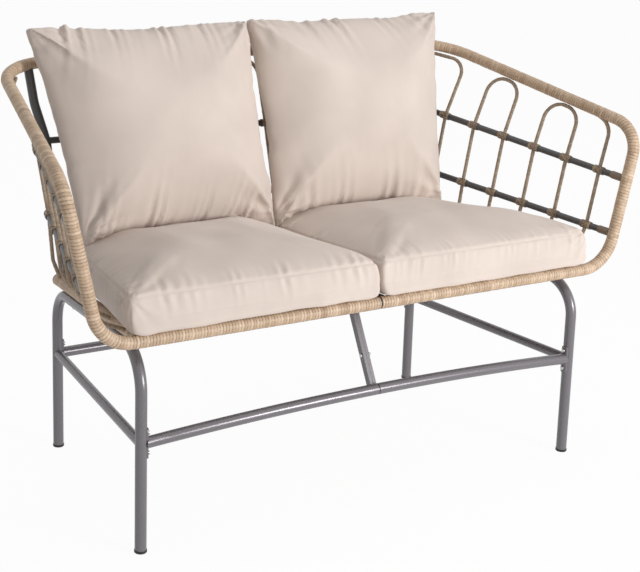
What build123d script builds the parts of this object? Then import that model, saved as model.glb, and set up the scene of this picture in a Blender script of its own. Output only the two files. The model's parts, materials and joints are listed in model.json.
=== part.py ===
"""Patio loveseat: two bolted lattice halves on bent-tube leg frames, with four loose cushions.

X runs across the seat, Y from the front (negative) to the back, Z up.
The origin is on the floor at the middle of the seat. Lengths are in millimetres.
The right half is modelled and the left half is its mirror image.
"""
import os
from math import hypot

from build123d import *

os.makedirs("parts", exist_ok=True)

# Tube, bar and rod stock
tube_diameter = 22.2
tube_wall = 1.2
side_stretcher_diameter = 19.0
upright_diameter = 19.0
bar_diameter = 14.0
slat_diameter = 12.7
rod_diameter = 9.5
wrap_thickness = 1.6
lashing_thickness = 1.4
contact_gap = 0.15
joint_gap = 0.4
cut_overrun = 5.0

# Rim: front rail, arm post, arm and back rail in one bent tube per half
depth_between_rails = 592.0
front_corner_x = 590.0
arm_front_x = 656.0
arm_front_z = 705.0
arm_rear_x = 558.0
back_rail_z = 828.0
front_corner_radius = 80.0
arm_corner_radius = 70.0
rear_corner_radius = 135.0
wrap_joint_setback = 1.4

# Leg frames
front_leg_x = 507.0
rear_leg_x = 462.0
front_leg_inset = 6.0
rear_leg_inset = 74.0
leg_front_corner_z = 386.0
leg_rear_corner_z = 353.0
leg_bend_radius = 75.0
foot_cap_height = 5.0
foot_cap_lip = 0.9
foot_plug_length = 18.0

# Stretchers and centre brace
stretcher_z = 212.0
front_stretcher_rise = 22.0
front_stretcher_bow = 12.0
saddle_height = 58.0
saddle_half_width = 8.0
saddle_thickness = 2.5
saddle_corner_radius = 5.0
saddle_bolt_offset = 19.5
brace_depth = 14.0
brace_half_thickness = 7.0
brace_foot_setback = 18.0
brace_run_per_rise = 0.55
brace_bolt_share = 0.32

# Seat frame
rear_rail_inset = 102.0
slats_per_half = 4
rail_cap_thickness = 2.0
side_rail_overhang = 4.0

# Bars around the sides and the back
lower_bar_front_z = 480.0
upper_bar_front_z = 596.5
lower_bar_corner_x = 490.0
upper_bar_corner_x = 503.0
lower_bar_corner_z = 527.0
upper_bar_corner_z = 671.0
lower_bar_setback = 98.0
upper_bar_setback = 54.0
lower_bar_corner_radius = 18.0
upper_bar_corner_radius = 30.0
lower_upright_inset = 18.0
upper_upright_inset = 28.0
upright_top_x = 497.0
upright_top_setback = 8.0
upright_knee_x = 492.0
upright_knee_setback = 32.0
upright_knee_z = 747.0
upright_foot_inset = 20.0
upright_bend_radius = 120.0

# Rods of the lattice
side_rod_spacing = 83.5
back_rod_spacing = 84.0
first_side_rod_inset = 67.0
side_rod_count = 6
first_back_rod_x = 50.0
back_rod_count = 5
side_arch_radius = 39.0
back_arch_radius = 41.0
front_arch_run = 47.0
rear_arch_x = 532.0
rear_arch_setback = 33.0
rear_arch_radius = 36.0
elbow_radius = 34.0
gentle_radius = 60.0
elbow_out_share = 0.3
elbow_down_share = 0.66
back_elbow_setback = 106.0
back_elbow_z = 460.0
lashing_half_length = 11.0
end_wrap_length = 34.0

# Dowels and fasteners
dowel_clearance = 0.25
dowel_length = 60.0
bolt_diameter = 5.0
bolt_hole_clearance = 0.25
bolt_head_diameter = 8.5
bolt_head_height = 3.0
nut_diameter = 9.2
nut_height = 4.0
bolt_point_length = 3.0
centre_bolt_inset = 90.0
frame_bolt_front_offset = 130.0
frame_bolt_rear_offset = 120.0

# Seat cushions
cushion_clearance = 0.3
cushion_side_gap = 2.0
seat_cushion_overhang = 9.0
seat_cushion_rear_clearance = 5.0
seat_cushion_front_spread = 32.0
seat_cushion_rear_inset = 4.0
seat_cushion_edge_height = 70.0
seat_cushion_crown = 34.0
seat_cushion_corner_radius = 14.0
seat_cushion_crown_run = 150.0
side_bulge = 7.0

# Back cushions
pillow_bottom_setback = 190.0
pillow_bottom_z = 493.0
pillow_over_rail = 101.0
pillow_top_width = 513.0
pillow_bottom_width = 452.0
pillow_front_depth = 72.0
pillow_back_depth = 59.7
pillow_draw_in = 10.0
pillow_crown_run = 150.0
pillow_lean_run = 147.0
pillow_lean_rise = 413.0

# Cushion sections as shares: height of the side and inset against the side bulge, then the
# height and run of the crown over the edge
seat_side_shares = [(0.0, 2.2), (0.07, 1.1), (0.2, 0.3), (0.5, 0.0), (0.85, 0.3), (1.0, 1.0)]
seat_crown_shares = [(0.5, 0.12), (0.8, 0.3), (0.95, 0.6), (1.0, 1.0)]
pillow_shares = [(0.05, 0.0), (0.32, 0.04), (0.58, 0.15), (0.8, 0.36), (0.94, 0.65), (1.0, 1.0)]
pillow_straight_share = 0.9
corner_growth_share = 0.35
corner_limit_share = 0.49

# Places that follow from the sizes above
tube_radius = tube_diameter / 2
tube_bore = tube_diameter - 2 * tube_wall
wrap_radius = tube_radius + wrap_thickness
wrap_bore = tube_diameter + contact_gap
rod_radius = rod_diameter / 2
half_joint = joint_gap / 2
wrap_face = 2 * (wrap_radius + contact_gap)
tube_face = 2 * (tube_radius + contact_gap)
front_rail_y = -depth_between_rails / 2
back_rail_y = depth_between_rails / 2
front_leg_y = front_rail_y + front_leg_inset
rear_leg_y = back_rail_y - rear_leg_inset
rear_rail_y = back_rail_y - rear_rail_inset
leg_run = rear_leg_y - front_leg_y
seat_slope = (leg_rear_corner_z - leg_front_corner_z) / leg_run
slope_length = hypot(1, seat_slope)
seat_lift = (tube_radius + wrap_radius + contact_gap) * slope_length
outward = Vector(1, 0, 0)
up = Vector(0, 0, 1)


def leg_line(y):
    """Point on the centreline of a leg frame's top tube, carried on past the bends."""
    share = (y - front_leg_y) / leg_run
    x = front_leg_x + (rear_leg_x - front_leg_x) * share
    return Vector(x, y, leg_front_corner_z + seat_slope * (y - front_leg_y))


def seat_line(y):
    """Point on the centreline of the side rail, which lies on the leg frame."""
    return leg_line(y) + up * seat_lift


front_rail_z = seat_line(front_rail_y).Z
rear_rail_z = seat_line(rear_rail_y).Z


def seat_top(y):
    """Height of the plane that touches the tops of the rails and slats."""
    return front_rail_z + seat_slope * (y - front_rail_y) + wrap_radius * slope_length


def along(start, end, share):
    return start + (end - start) * share


def round_bar(path, diameter, bore=0):
    """A bar or tube swept along a path of lines and arcs."""
    outline = Circle(diameter / 2)
    if bore:
        outline -= Circle(bore / 2)
    return sweep(Plane(origin=path @ 0, z_dir=path % 0) * outline, path=path)


def straight(start, end, diameter, bore=0):
    return round_bar(Line(start, end), diameter, bore)


def write(name, *shapes):
    """Write one node; several solids stay separate solids of one group."""
    pieces = [one for shape in shapes for one in shape.solids()]
    export_step(pieces[0] if len(pieces) == 1 else Compound(children=pieces), f"parts/{name}.step")


def write_pair(name, *shapes):
    """Write a node of the right half and its mirror image."""
    write(f"right_{name}", *shapes)
    write(f"left_{name}", *[mirror(shape, about=Plane.YZ) for shape in shapes])


def both_sides(*shapes):
    return list(shapes) + [mirror(shape, about=Plane.YZ) for shape in shapes]


# Rim tube and its wicker wrap
post_foot = Vector(front_corner_x, front_rail_y, front_rail_z)
arm_front = Vector(arm_front_x, front_rail_y, arm_front_z)
arm_rear = Vector(arm_rear_x, back_rail_y, back_rail_z)
rim_radii = [front_corner_radius, arm_corner_radius, rear_corner_radius]


def rim_path(start_x):
    front = Vector(start_x, front_rail_y, front_rail_z)
    back = Vector(start_x, back_rail_y, back_rail_z)
    return FilletPolyline(front, post_foot, arm_front, arm_rear, back, radius=rim_radii)


rim_tube = round_bar(rim_path(half_joint), tube_diameter, tube_bore)
rim_wrap = round_bar(rim_path(wrap_joint_setback), 2 * wrap_radius, wrap_bore)
rim_body = round_bar(rim_path(half_joint), wrap_face)

# Seat frame: side rail on the leg frame, rear rail, centre tube and slats
side_rail_end_y = rear_rail_y + wrap_radius + side_rail_overhang
side_rail_line = [seat_line(front_rail_y), seat_line(side_rail_end_y)]
front_rail_line = [Vector(-cut_overrun, front_rail_y, front_rail_z), post_foot]
rear_rail_end = seat_line(rear_rail_y)
front_rail_body = straight(*front_rail_line, wrap_face)
side_rail_body = straight(*side_rail_line, wrap_face)
rear_rail_body = straight(Vector(-cut_overrun, rear_rail_y, rear_rail_z), rear_rail_end, wrap_face)

side_rail = straight(*side_rail_line, tube_diameter, tube_bore) - front_rail_body
side_rail_wrap = straight(*side_rail_line, 2 * wrap_radius, wrap_bore) - front_rail_body
rear_rail = straight(Vector(half_joint, rear_rail_y, rear_rail_z), rear_rail_end, tube_diameter, tube_bore)
rear_rail_start = Vector(wrap_joint_setback, rear_rail_y, rear_rail_z)
rear_rail_wrap = straight(rear_rail_start, rear_rail_end, 2 * wrap_radius, wrap_bore)
rear_rail = rear_rail - side_rail_body
rear_rail_wrap = rear_rail_wrap - side_rail_body

rail_plane = Plane(origin=side_rail_line[1], z_dir=side_rail_line[1] - side_rail_line[0])
cap_disc = extrude(Circle(wrap_radius), rail_cap_thickness)
cap_plug = extrude(Circle(tube_bore / 2 - contact_gap), -foot_plug_length)
rail_cap = rail_plane * (cap_disc + cap_plug)


def seat_member(x, diameter, bore=0):
    """A tube from the front rail to the rear rail with its top in the plane of their tops."""
    drop = diameter / 2 * slope_length
    start = Vector(x, front_rail_y, seat_top(front_rail_y) - drop)
    end = Vector(x, rear_rail_y, seat_top(rear_rail_y) - drop)
    return straight(start, end, diameter, bore) - front_rail_body - rear_rail_body


centre_tube_x = tube_radius + half_joint
centre_tube = seat_member(centre_tube_x, tube_diameter, tube_bore)
slat_pitch = (rear_rail_end.X - centre_tube_x) / (slats_per_half + 1)
slats = [seat_member(centre_tube_x + slat_pitch * (i + 1), slat_diameter) for i in range(slats_per_half)]

# Leg frame, side stretcher and foot caps
front_foot = Vector(front_leg_x, front_leg_y, foot_cap_height)
rear_foot = Vector(rear_leg_x, rear_leg_y, foot_cap_height)
leg_corners = [leg_line(front_leg_y), leg_line(rear_leg_y)]
leg_path = FilletPolyline(front_foot, *leg_corners, rear_foot, radius=leg_bend_radius)
leg_frame = round_bar(leg_path, tube_diameter, tube_bore)
leg_up = up * (stretcher_z + saddle_height)
front_leg_body = straight(front_foot, front_foot + leg_up, tube_face)
rear_leg_body = straight(rear_foot, rear_foot + leg_up, tube_face)


def foot_cap(foot):
    """A cap under the tube end with a plug up inside the tube."""
    base = extrude(Circle(tube_radius + foot_cap_lip), -foot_cap_height)
    base = chamfer(base.faces().sort_by(Axis.Z)[0].edges(), foot_cap_lip)
    plug = extrude(Circle(tube_bore / 2 - contact_gap), foot_plug_length)
    return Pos(foot.X, foot.Y, foot.Z) * (base + plug)


foot_caps = [foot_cap(front_foot), foot_cap(rear_foot)]

# Saddle plates at the legs, and the stretchers welded to them
saddle_face = tube_radius + contact_gap + saddle_thickness


def saddle(foot):
    """A curved plate that hugs the inner side of a leg."""
    ring = Circle(saddle_face) - Circle(tube_radius + contact_gap)
    window = Rectangle(saddle_face, 2 * saddle_half_width, align=(Align.MAX, Align.CENTER))
    mask = Plane.YZ * RectangleRounded(2 * saddle_half_width, saddle_height, saddle_corner_radius)
    plate = extrude(ring & window, saddle_height / 2, both=True) & extrude(mask, -saddle_face)
    return Pos(foot.X, foot.Y, stretcher_z) * plate


def saddle_room(foot):
    """The space that a saddle plate and a cross stretcher need beside a side stretcher."""
    block = Box(saddle_face, tube_face, saddle_height, align=(Align.MAX, Align.CENTER, Align.CENTER))
    return Pos(foot.X - side_stretcher_diameter / 2 + saddle_thickness, foot.Y, stretcher_z) * block


saddle_feet = [front_foot, rear_foot]
stretcher_lift = up * (stretcher_z - foot_cap_height)
side_stretcher = straight(front_foot + stretcher_lift, rear_foot + stretcher_lift, side_stretcher_diameter)
side_stretcher = side_stretcher - front_leg_body - rear_leg_body
side_stretcher = side_stretcher - saddle_room(front_foot) - saddle_room(rear_foot)

saddle_body = 2 * (saddle_face + contact_gap)
front_saddle_body = straight(front_foot, front_foot + leg_up, saddle_body)
rear_saddle_body = straight(rear_foot, rear_foot + leg_up, saddle_body)
stretcher_mid = Vector(half_joint, front_leg_y - front_stretcher_bow, stretcher_z + front_stretcher_rise)
front_arc = TangentArc(stretcher_mid, front_foot + stretcher_lift, tangent=(1, 0, 0))
front_stretcher = round_bar(front_arc, tube_diameter, tube_bore) - front_saddle_body
front_stretcher_body = round_bar(front_arc, tube_face)
rear_mid = Vector(half_joint, rear_leg_y, stretcher_z)
rear_stretcher = straight(rear_mid, rear_foot + stretcher_lift, tube_diameter, tube_bore)
rear_stretcher = rear_stretcher - rear_saddle_body


# Dowels inside the five centre joints
def dowel(centre):
    diameter = tube_bore - 2 * dowel_clearance
    reach = outward * (dowel_length / 2)
    return straight(centre - reach, centre + reach, diameter, diameter - 2 * tube_wall)


rail_dowels = [
    dowel(Vector(0, front_rail_y, front_rail_z)),
    dowel(Vector(0, back_rail_y, back_rail_z)),
    dowel(Vector(0, rear_rail_y, rear_rail_z)),
]
stretcher_dowels = [dowel(Vector(0, middle.Y, middle.Z)) for middle in (stretcher_mid, rear_mid)]

# Centre brace in two halves, side by side, from the front stretcher up to the centre tubes
brace_x = half_joint + brace_half_thickness / 2
brace_foot = Vector(brace_x, stretcher_mid.Y + brace_foot_setback, stretcher_mid.Z)
brace_rise = front_rail_z - stretcher_mid.Z - tube_radius / 2
brace_head = brace_foot + Vector(0, brace_rise * brace_run_per_rise, brace_rise)
brace_plane = Plane(origin=brace_foot, x_dir=(1, 0, 0), z_dir=brace_head - brace_foot)
brace_section = brace_plane * Rectangle(brace_half_thickness, brace_depth)
centre_tube_body = seat_member(centre_tube_x, tube_face)
brace = sweep(brace_section, path=Line(brace_foot, brace_head)) - front_stretcher_body - centre_tube_body
brace = brace.solids().sort_by(SortBy.VOLUME)[-1]


# Bolts and nuts
def bolt_at(origin, direction, shank_length):
    """A pan-head bolt: the head stands on the origin and the shank runs along the direction."""
    head = extrude(Circle(bolt_head_diameter / 2), -bolt_head_height)
    head = chamfer(head.faces().sort_by(Axis.Z)[0].edges(), bolt_head_height / 3)
    shank = extrude(Circle(bolt_diameter / 2), shank_length)
    return Plane(origin=origin, z_dir=direction) * (head + shank)


def bolt_hole(origin, direction, length):
    """A clearance hole that starts a little before the origin."""
    hole = extrude(Circle(bolt_diameter / 2 + bolt_hole_clearance), length + cut_overrun)
    return Plane(origin=origin - direction, z_dir=direction) * hole


def nut_at(origin, direction):
    """A hexagon nut that stands on the origin."""
    ring = RegularPolygon(nut_diameter / 2, 6) - Circle(bolt_diameter / 2)
    return Plane(origin=origin, z_dir=direction) * extrude(ring, nut_height)


saddle_shank = saddle_thickness + contact_gap + tube_wall + bolt_point_length
saddle_spots = [
    Vector(foot.X - saddle_face, foot.Y, stretcher_z + offset)
    for foot in saddle_feet
    for offset in (-saddle_bolt_offset, saddle_bolt_offset)
]
saddle_bolts = [bolt_at(spot, outward, saddle_shank) for spot in saddle_spots]
saddle_holes = [bolt_hole(spot, outward, saddle_shank) for spot in saddle_spots]
saddle_plates = [saddle(foot) - saddle_holes for foot in saddle_feet]

rail_direction = (side_rail_line[1] - side_rail_line[0]).normalized()
frame_up = (up - rail_direction * up.dot(rail_direction)).normalized()
frame_shank = tube_diameter + contact_gap + wrap_thickness + tube_wall + bolt_point_length
frame_spots = [
    leg_line(y) - frame_up * tube_radius
    for y in (front_leg_y + frame_bolt_front_offset, rear_leg_y - frame_bolt_rear_offset)
]
frame_bolts = [bolt_at(spot, frame_up, frame_shank) for spot in frame_spots]
frame_holes = [bolt_hole(spot, frame_up, frame_shank) for spot in frame_spots]
leg_frame = leg_frame - frame_holes - saddle_holes
side_rail = side_rail - frame_holes
side_rail_wrap = side_rail_wrap - frame_holes

# The two centre tubes are bolted through their walls, and the brace halves through their flats
tube_pair_reach = outward * (centre_tube_x + tube_radius)
centre_spots = [
    Vector(0, y, seat_top(y) - tube_radius * slope_length)
    for y in (front_rail_y + centre_bolt_inset, rear_rail_y - centre_bolt_inset)
]
pair_shank = 2 * tube_pair_reach.X + nut_height + bolt_point_length
centre_bolts = [bolt_at(spot - tube_pair_reach, outward, pair_shank) for spot in centre_spots]
centre_nuts = [nut_at(spot + tube_pair_reach, outward) for spot in centre_spots]
centre_holes = [bolt_hole(spot - tube_pair_reach, outward, pair_shank) for spot in centre_spots]
centre_tube = centre_tube - centre_holes

brace_bolt_spot = along(brace_foot, brace_head, brace_bolt_share)
brace_bolt_spot = Vector(0, brace_bolt_spot.Y, brace_bolt_spot.Z)
brace_reach = outward * (half_joint + brace_half_thickness)
brace_shank = 2 * brace_reach.X + nut_height + bolt_point_length
brace_bolt = bolt_at(brace_bolt_spot - brace_reach, outward, brace_shank)
brace_nut = nut_at(brace_bolt_spot + brace_reach, outward)
brace = brace - bolt_hole(brace_bolt_spot - brace_reach, outward, brace_shank)

# Lattice bars: each side bar turns the rear corner and meets the corner upright
post_direction = arm_front - post_foot


def on_post(z):
    return post_foot + post_direction * ((z - post_foot.Z) / post_direction.Z)


lower_post = on_post(lower_bar_front_z)
upper_post = on_post(upper_bar_front_z)
lower_corner = Vector(lower_bar_corner_x, back_rail_y - lower_bar_setback, lower_bar_corner_z)
upper_corner = Vector(upper_bar_corner_x, back_rail_y - upper_bar_setback, upper_bar_corner_z)
lower_knot = lower_corner - outward * lower_upright_inset
upper_knot = upper_corner - outward * upper_upright_inset

upright_top = Vector(upright_top_x, back_rail_y - upright_top_setback, back_rail_z)
upright_knee = Vector(upright_knee_x, back_rail_y - upright_knee_setback, upright_knee_z)
upright_foot = rear_rail_end - outward * upright_foot_inset
upright_points = [upright_top, upright_knee, upper_knot, lower_knot, upright_foot]
upright_path = FilletPolyline(*upright_points, radius=upright_bend_radius)
upright = round_bar(upright_path, upright_diameter) - rim_body - side_rail_body - rear_rail_body
upright = upright.solids().sort_by(SortBy.VOLUME)[-1]
upright_body = round_bar(upright_path, upright_diameter + 2 * contact_gap)

lower_side_path = FilletPolyline(lower_post, lower_corner, lower_knot, radius=lower_bar_corner_radius)
upper_side_path = FilletPolyline(upper_post, upper_corner, upper_knot, radius=upper_bar_corner_radius)
lower_back_path = Line(lower_knot, Vector(half_joint, lower_knot.Y, lower_knot.Z))
upper_back_path = Line(upper_knot, Vector(half_joint, upper_knot.Y, upper_knot.Z))

# Lattice rods: pairs joined by arches under the rim, single half arches at the ends
arch_drop = wrap_radius + rod_radius + contact_gap


def on_line(start, end, y):
    return along(start, end, (y - start.Y) / (end.Y - start.Y))


def under_rim(knot, rim_point, rim_direction):
    """Corner point of an arch: down from the rim, along the lean of the lattice."""
    lean = (rim_point - knot).normalized()
    return rim_point - lean * (arch_drop / lean.cross(rim_direction.normalized()).length)


def side_rod_points(y):
    """Arch corner, upper knot, lower knot, elbow and foot of a side rod."""
    upper = on_line(upper_post, upper_corner, y)
    lower = on_line(lower_post, lower_corner, y)
    foot = seat_line(y)
    drop = foot - lower
    elbow = lower + Vector(drop.X * elbow_out_share, 0, drop.Z * elbow_down_share)
    top = under_rim(upper, on_line(arm_front, arm_rear, y), arm_rear - arm_front)
    return [top, upper, lower, elbow, foot]


def back_rod_points(x):
    """Arch corner, upper knot, lower knot, elbow and foot of a back rod."""
    upper = Vector(x, upper_knot.Y, upper_knot.Z)
    lower = Vector(x, lower_knot.Y, lower_knot.Z)
    elbow = Vector(x, back_rail_y - back_elbow_setback, back_elbow_z)
    top = under_rim(upper, Vector(x, back_rail_y, back_rail_z), outward)
    return [top, upper, lower, elbow, Vector(x, rear_rail_y, rear_rail_z)]


bend_radii = [gentle_radius, gentle_radius, elbow_radius]


def hoop_path(first, second, arch_radius):
    """Two rods joined by an arch, from foot to foot."""
    radii = bend_radii[::-1] + [arch_radius, arch_radius] + bend_radii
    return FilletPolyline(*first[::-1], *second, radius=radii)


def half_arch_path(tip, points, arch_radius):
    return FilletPolyline(tip, *points, radius=[arch_radius] + bend_radii)


side_rod_y = [front_rail_y + first_side_rod_inset + side_rod_spacing * i for i in range(side_rod_count)]
side_points = [side_rod_points(y) for y in side_rod_y]
back_rod_x = [first_back_rod_x + back_rod_spacing * i for i in range(back_rod_count)]
back_points = [back_rod_points(x) for x in back_rod_x]

arm_direction = (arm_rear - arm_front).normalized()
front_tip = side_points[0][0] + arm_direction * front_arch_run
rear_tip = Vector(rear_arch_x, back_rail_y - rear_arch_setback, side_points[-1][0].Z + arch_drop)
centre_tip = Vector(half_joint, back_points[0][0].Y, back_points[0][0].Z)
side_paths = [half_arch_path(front_tip, side_points[0], side_arch_radius)]
side_paths += [
    hoop_path(side_points[i], side_points[i + 1], side_arch_radius)
    for i in range(1, side_rod_count - 1, 2)
]
side_paths += [half_arch_path(rear_tip, side_points[-1], rear_arch_radius)]
back_paths = [half_arch_path(centre_tip, back_points[0], back_arch_radius)]
back_paths += [
    hoop_path(back_points[i], back_points[i + 1], back_arch_radius)
    for i in range(1, back_rod_count - 1, 2)
]

rod_face = rod_diameter + 2 * contact_gap
side_rods = [round_bar(path, rod_diameter) - side_rail_body - rim_body for path in side_paths]
back_rods = [round_bar(path, rod_diameter) - rear_rail_body for path in back_paths]
side_rod_bodies = [round_bar(path, rod_face) for path in side_paths]
back_rod_bodies = [round_bar(path, rod_face) for path in back_paths]

lower_side_bar = round_bar(lower_side_path, bar_diameter) - rim_body - upright_body - side_rod_bodies
upper_side_bar = round_bar(upper_side_path, bar_diameter) - rim_body - upright_body - side_rod_bodies
lower_back_bar = round_bar(lower_back_path, bar_diameter) - upright_body - back_rod_bodies
upper_back_bar = round_bar(upper_back_path, bar_diameter) - upright_body - back_rod_bodies

# Lashings: cane sleeves on the bars around each rod, and on the bar ends at the front post
lashing_diameter = bar_diameter + 2 * lashing_thickness
lashing_bore = bar_diameter + 2 * contact_gap
slab_size = 4 * lashing_diameter


def side_slab(start_y, end_y, centre):
    """A block across a side bar between two depths."""
    block = Box(slab_size, end_y - start_y, slab_size, align=(Align.CENTER, Align.MIN, Align.CENTER))
    return Pos(centre.X, start_y, centre.Z) * block


def back_slab(centre):
    return Pos(centre.X, centre.Y, centre.Z) * Box(2 * lashing_half_length, slab_size, slab_size)


side_lashings = []
for path, knot_index, post in ((lower_side_path, 2, lower_post), (upper_side_path, 1, upper_post)):
    sleeve = round_bar(path, lashing_diameter, lashing_bore) - rim_body - upright_body - side_rod_bodies
    side_lashings.append(sleeve & side_slab(front_rail_y, front_rail_y + end_wrap_length, post))
    for points in side_points:
        knot = points[knot_index]
        slab = side_slab(knot.Y - lashing_half_length, knot.Y + lashing_half_length, knot)
        side_lashings.append(sleeve & slab)

back_lashings = []
for path, knot_index in ((lower_back_path, 2), (upper_back_path, 1)):
    sleeve = round_bar(path, lashing_diameter, lashing_bore) - upright_body - back_rod_bodies
    back_lashings += [sleeve & back_slab(points[knot_index]) for points in back_points]

# Seat cushion: boxed sides that bulge a little and a crowned top
slope_plane = Plane(
    origin=(0, front_rail_y, seat_top(front_rail_y) + cushion_clearance),
    x_dir=(1, 0, 0),
    z_dir=(0, -seat_slope, 1),
)
seat_rear_y = back_rail_y - back_elbow_setback - rod_radius - seat_cushion_rear_clearance
seat_front_v = -seat_cushion_overhang
seat_rear_v = (seat_rear_y - front_rail_y) * slope_length
seat_inner_x = cushion_side_gap / 2
seat_cushion_front_width = front_leg_x + seat_cushion_front_spread
seat_cushion_rear_width = rear_leg_x - seat_cushion_rear_inset


def seat_section(height, inset):
    """A rounded outline of the seat cushion, drawn in from its widest outline."""
    corners = [
        (seat_inner_x + inset, seat_front_v + inset),
        (seat_cushion_front_width - inset, seat_front_v + inset),
        (seat_cushion_rear_width - inset, seat_rear_v - inset),
        (seat_inner_x + inset, seat_rear_v - inset),
    ]
    outline = make_face(Polyline(*corners, close=True))
    shortest_side = min(corners[2][0] - corners[3][0], corners[3][1] - corners[0][1])
    corner_radius = seat_cushion_corner_radius + inset * corner_growth_share
    outline = fillet(outline.vertices(), min(corner_radius, shortest_side * corner_limit_share))
    return slope_plane.offset(height) * outline


seat_sections = [
    seat_section(seat_cushion_edge_height * height, side_bulge * inset)
    for height, inset in seat_side_shares
]
seat_sections += [
    seat_section(
        seat_cushion_edge_height + seat_cushion_crown * height,
        side_bulge + seat_cushion_crown_run * run,
    )
    for height, run in seat_crown_shares
]
seat_cushion = loft(seat_sections, ruled=True)

# Back cushion: a knife-edge pillow that leans on the lattice
pillow_bottom_y = back_rail_y - pillow_bottom_setback
pillow_height = back_rail_z - pillow_bottom_z + pillow_over_rail
pillow_plane = Plane(
    origin=(0, pillow_bottom_y, pillow_bottom_z),
    x_dir=(1, 0, 0),
    z_dir=(0, -pillow_lean_rise, pillow_lean_run),
)


def pillow_section(depth, inset_share):
    """A four-sided outline with drawn-in sides, smaller further from the seam."""
    inset = pillow_crown_run * inset_share
    bow = pillow_draw_in * (1 - pillow_straight_share * inset_share)
    corners = [
        Vector(seat_inner_x + inset, inset),
        Vector(pillow_bottom_width - inset, inset),
        Vector(pillow_top_width - inset, pillow_height - inset),
        Vector(seat_inner_x + inset, pillow_height - inset),
    ]
    middle = (corners[0] + corners[1] + corners[2] + corners[3]) / 4
    sides = []
    for start, end in zip(corners, corners[1:] + corners[:1]):
        half_way = (start + end) / 2
        pulled = half_way + (middle - half_way).normalized() * bow
        sides.append(ThreePointArc(start, pulled, end))
    return pillow_plane.offset(depth) * make_face(sides)


back_sections = [pillow_section(-pillow_back_depth * depth, share) for depth, share in pillow_shares[::-1]]
front_sections = [pillow_section(pillow_front_depth * depth, share) for depth, share in pillow_shares]
back_cushion = loft(back_sections + front_sections, ruled=True)

# Write the nodes
write_pair("leg_frame", leg_frame)
write_pair("side_stretcher", side_stretcher)
write_pair("front_stretcher", front_stretcher)
write_pair("rear_stretcher", rear_stretcher)
write_pair("centre_brace", brace)
write_pair("rim_tube", rim_tube)
write_pair("rim_wrap", rim_wrap)
write_pair("seat_side_rail", side_rail)
write_pair("seat_side_rail_wrap", side_rail_wrap)
write_pair("seat_rear_rail", rear_rail)
write_pair("seat_rear_rail_wrap", rear_rail_wrap)
write_pair("seat_centre_tube", centre_tube)
write_pair("seat_slats", *slats)
write_pair("corner_upright", upright)
write_pair("lower_side_bar", lower_side_bar)
write_pair("upper_side_bar", upper_side_bar)
write_pair("lower_back_bar", lower_back_bar)
write_pair("upper_back_bar", upper_back_bar)
write_pair("side_rods", *side_rods)
write_pair("back_rods", *back_rods)
write_pair("side_lashings", *side_lashings)
write_pair("back_lashings", *back_lashings)
write_pair("seat_cushion", seat_cushion)
write_pair("back_cushion", back_cushion)
write("foot_caps", *both_sides(*foot_caps))
write("saddle_plates", *both_sides(*saddle_plates))
write("saddle_bolts", *both_sides(*saddle_bolts))
write("frame_bolts", *both_sides(*frame_bolts))
write("rail_caps", *both_sides(rail_cap))
write("rail_dowels", *rail_dowels)
write("stretcher_dowels", *stretcher_dowels)
write("centre_tube_bolts", *centre_bolts)
write("centre_brace_bolt", brace_bolt)
write("centre_nuts", *centre_nuts, brace_nut)
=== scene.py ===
"""Patio loveseat: wound cane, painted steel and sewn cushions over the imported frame."""

import json
import math

import bpy
import numpy as np
from mathutils import Matrix, Vector, bvhtree, kdtree


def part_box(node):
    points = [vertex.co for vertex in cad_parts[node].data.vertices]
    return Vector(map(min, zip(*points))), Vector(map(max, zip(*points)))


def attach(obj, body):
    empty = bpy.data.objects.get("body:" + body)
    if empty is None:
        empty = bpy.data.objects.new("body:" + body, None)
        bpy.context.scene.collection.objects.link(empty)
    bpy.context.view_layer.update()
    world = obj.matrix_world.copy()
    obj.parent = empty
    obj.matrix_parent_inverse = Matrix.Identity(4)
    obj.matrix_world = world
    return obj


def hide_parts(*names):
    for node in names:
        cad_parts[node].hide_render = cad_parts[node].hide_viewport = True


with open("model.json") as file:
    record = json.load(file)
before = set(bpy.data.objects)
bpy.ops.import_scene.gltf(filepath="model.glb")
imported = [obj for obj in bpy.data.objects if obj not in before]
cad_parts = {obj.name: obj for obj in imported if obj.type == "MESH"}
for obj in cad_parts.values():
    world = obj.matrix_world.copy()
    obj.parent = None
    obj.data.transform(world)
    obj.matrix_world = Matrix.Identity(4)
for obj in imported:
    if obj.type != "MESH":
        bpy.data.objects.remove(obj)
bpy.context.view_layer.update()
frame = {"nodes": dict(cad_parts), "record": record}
nodes = frame["nodes"]
scene = bpy.context.scene
MM = 0.001
SIDES = (("right", 1), ("left", -1))
X_AXIS = np.array((1.0, 0, 0))

# Frame sizes in millimetres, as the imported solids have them. Places are those of centrelines.
RIM_RADIUS = 12.7
LEG_RADIUS = 11.1
BAR_RADIUS = 7.0
ROD_RADIUS = 4.75
SEAT_CLEARANCE = 0.15

WINDING_START_X = 2.0
RAIL_Y = 296.0
FRONT_RAIL_Z = 409.6
BACK_RAIL_Z = 828.0
RIM_POINTS = [
    (WINDING_START_X, -RAIL_Y, FRONT_RAIL_Z),
    (590, -RAIL_Y, FRONT_RAIL_Z),
    (656, -RAIL_Y, 705),
    (558, RAIL_Y, BACK_RAIL_Z),
    (WINDING_START_X, RAIL_Y, BACK_RAIL_Z),
]
RIM_BENDS = [80, 70, 135]

# The leg frames' top tubes, which carry the seat's side rails
LEG_FRONT_X, LEG_REAR_X = 507, 462
LEG_FRONT_Y = -290
LEG_FRONT_Z, LEG_REAR_Z = 386, 353
LEG_RUN = 512
SLOPE = (LEG_REAR_Z - LEG_FRONT_Z) / LEG_RUN
SLOPE_STRETCH = math.hypot(1, SLOPE)
SEAT_LIFT = (LEG_RADIUS + RIM_RADIUS + SEAT_CLEARANCE) * SLOPE_STRETCH
REAR_RAIL_Y = 194.0


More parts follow.
